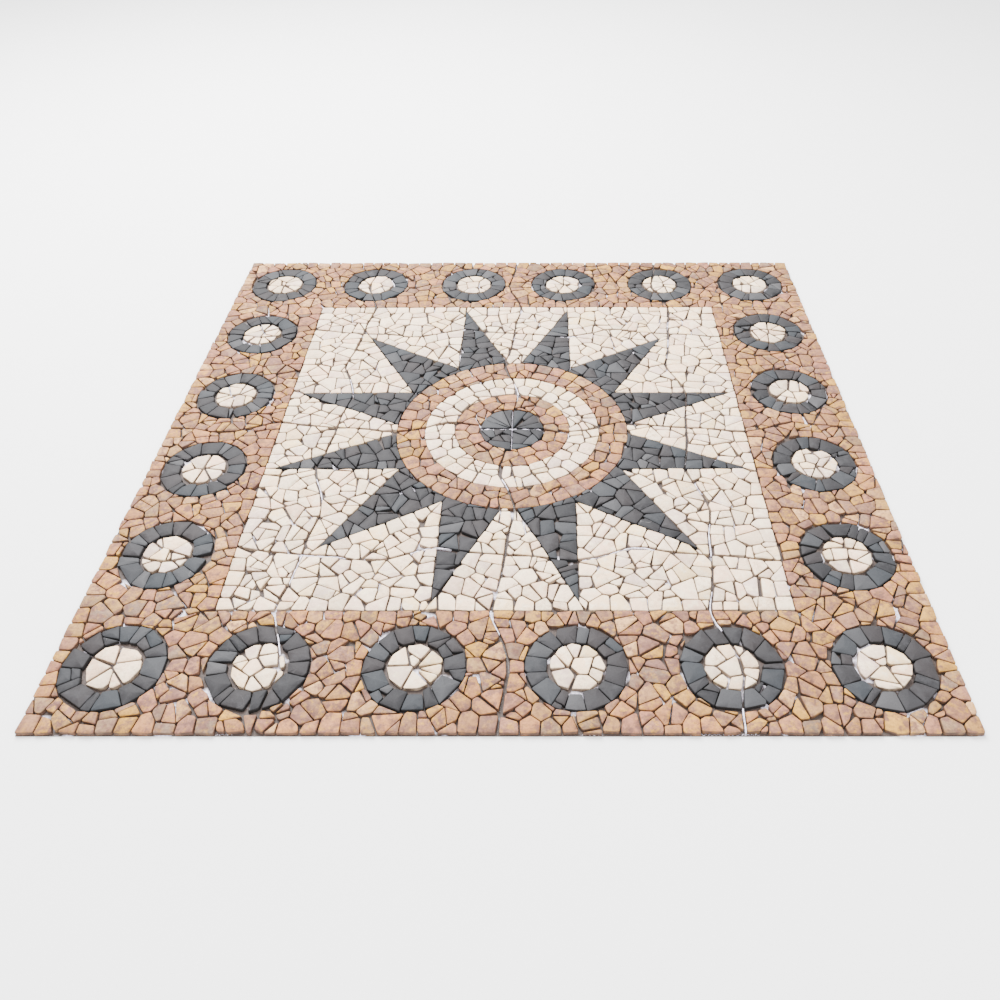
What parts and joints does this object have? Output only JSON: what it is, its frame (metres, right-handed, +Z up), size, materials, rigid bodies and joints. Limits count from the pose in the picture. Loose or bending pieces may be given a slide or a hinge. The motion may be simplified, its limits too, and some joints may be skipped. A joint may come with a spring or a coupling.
{
  "type": "mosaic panel",
  "caption": "Square floor mosaic of tumbled marble on net-backed mats with wavy edges: a rayed sun in a cream field, inside a rose border with dark rings.",
  "frame": {"origin": "middle of the underside, on the surface the panel lies on", "axes": "+X to the right and +Y away from the front edge as seen in the picture, +Z up out of the stones' faces"},
  "size_m": [1.2, 1.2, 0.008],
  "materials": {
    "cream_marble": "tumbled, matt, on white net",
    "rose_marble": "tumbled, matt",
    "dark_marble": "tumbled, matt"
  },
  "bodies": {
    "root": {"cream_mat_1_1": "cream_marble", "cream_mat_1_2": "cream_marble", "cream_mat_1_3": "cream_marble", "cream_mat_1_4": "cream_marble", "cream_mat_2_1": "cream_marble", "cream_mat_2_2": "cream_marble", "cream_mat_2_3": "cream_marble", "cream_mat_2_4": "cream_marble", "cream_mat_3_1": "cream_marble", "cream_mat_3_2": "cream_marble", "cream_mat_3_3": "cream_marble", "cream_mat_3_4": "cream_marble", "cream_mat_4_1": "cream_marble", "cream_mat_4_2": "cream_marble", "cream_mat_4_3": "cream_marble", "cream_mat_4_4": "cream_marble", "dark_ring_01": "dark_marble", "dark_ring_02": "dark_marble", "dark_ring_03": "dark_marble", "dark_ring_04": "dark_marble", "dark_ring_05": "dark_marble", "dark_ring_06": "dark_marble", "dark_ring_07": "dark_marble", "dark_ring_08": "dark_marble", "dark_ring_09": "dark_marble", "dark_ring_10": "dark_marble", "dark_ring_11": "dark_marble", "dark_ring_12": "dark_marble", "dark_ring_13": "dark_marble", "dark_ring_14": "dark_marble", "dark_ring_15": "dark_marble", "dark_ring_16": "dark_marble", "dark_ring_17": "dark_marble", "dark_ring_18": "dark_marble", "dark_ring_19": "dark_marble", "dark_ring_20": "dark_marble", "rose_border_1_1": "rose_marble", "rose_border_1_2": "rose_marble", "rose_border_1_3": "rose_marble", "rose_border_1_4": "rose_marble", "rose_border_2_1": "rose_marble", "rose_border_2_4": "rose_marble", "rose_border_3_1": "rose_marble", "rose_border_3_4": "rose_marble", "rose_border_4_1": "rose_marble", "rose_border_4_2": "rose_marble", "rose_border_4_3": "rose_marble", "rose_border_4_4": "rose_marble", "star_quarter_1": "dark_marble", "star_quarter_2": "dark_marble", "star_quarter_3": "dark_marble", "star_quarter_4": "dark_marble", "sun_dark_disc": "dark_marble", "sun_inner_rose": "rose_marble", "sun_outer_rose_1": "rose_marble", "sun_outer_rose_2": "rose_marble", "sun_outer_rose_3": "rose_marble", "sun_outer_rose_4": "rose_marble"}
  },
  "joints": []
}
